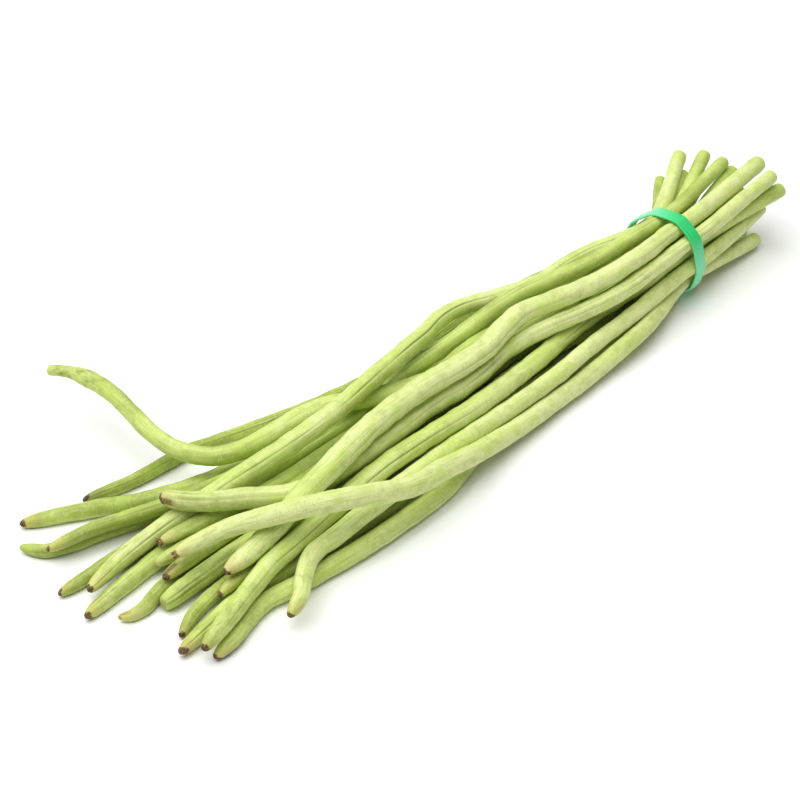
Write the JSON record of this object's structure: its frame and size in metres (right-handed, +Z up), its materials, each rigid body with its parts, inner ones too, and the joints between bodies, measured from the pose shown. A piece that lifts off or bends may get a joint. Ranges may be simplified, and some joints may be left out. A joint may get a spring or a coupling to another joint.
{
  "type": "yardlong bean bunch",
  "caption": "Bunch of long, thin, pale green yardlong beans lying flat, gathered near their stem ends by a green rubber band and fanning out towards their tips.",
  "frame": {"origin": "on the surface that the bunch lies on, below the middle of its bounding box", "axes": "+X along the bunch towards the cut stem ends, +Y across it towards the bean that sticks out sideways, +Z up"},
  "size_m": [0.4122, 0.182, 0.0411],
  "materials": {
    "bean_skin": "smooth, slightly waxy pod skin, pale to mid green, with soft lengthwise ridges, fine wrinkles and brown dried tips",
    "rubber": "smooth, faintly translucent emerald green rubber"
  },
  "bodies": {
    "root": {"bean_01": "bean_skin", "bean_02": "bean_skin", "bean_03": "bean_skin", "bean_04": "bean_skin", "bean_05": "bean_skin", "bean_06": "bean_skin", "bean_07": "bean_skin", "bean_08": "bean_skin", "bean_09": "bean_skin", "bean_10": "bean_skin", "bean_11": "bean_skin", "bean_12": "bean_skin", "bean_13": "bean_skin", "bean_14": "bean_skin", "bean_15": "bean_skin", "bean_16": "bean_skin", "bean_17": "bean_skin", "bean_18": "bean_skin", "bean_19": "bean_skin", "bean_20": "bean_skin", "bean_21": "bean_skin", "bean_22": "bean_skin", "rubber_band": "rubber"}
  },
  "joints": []
}
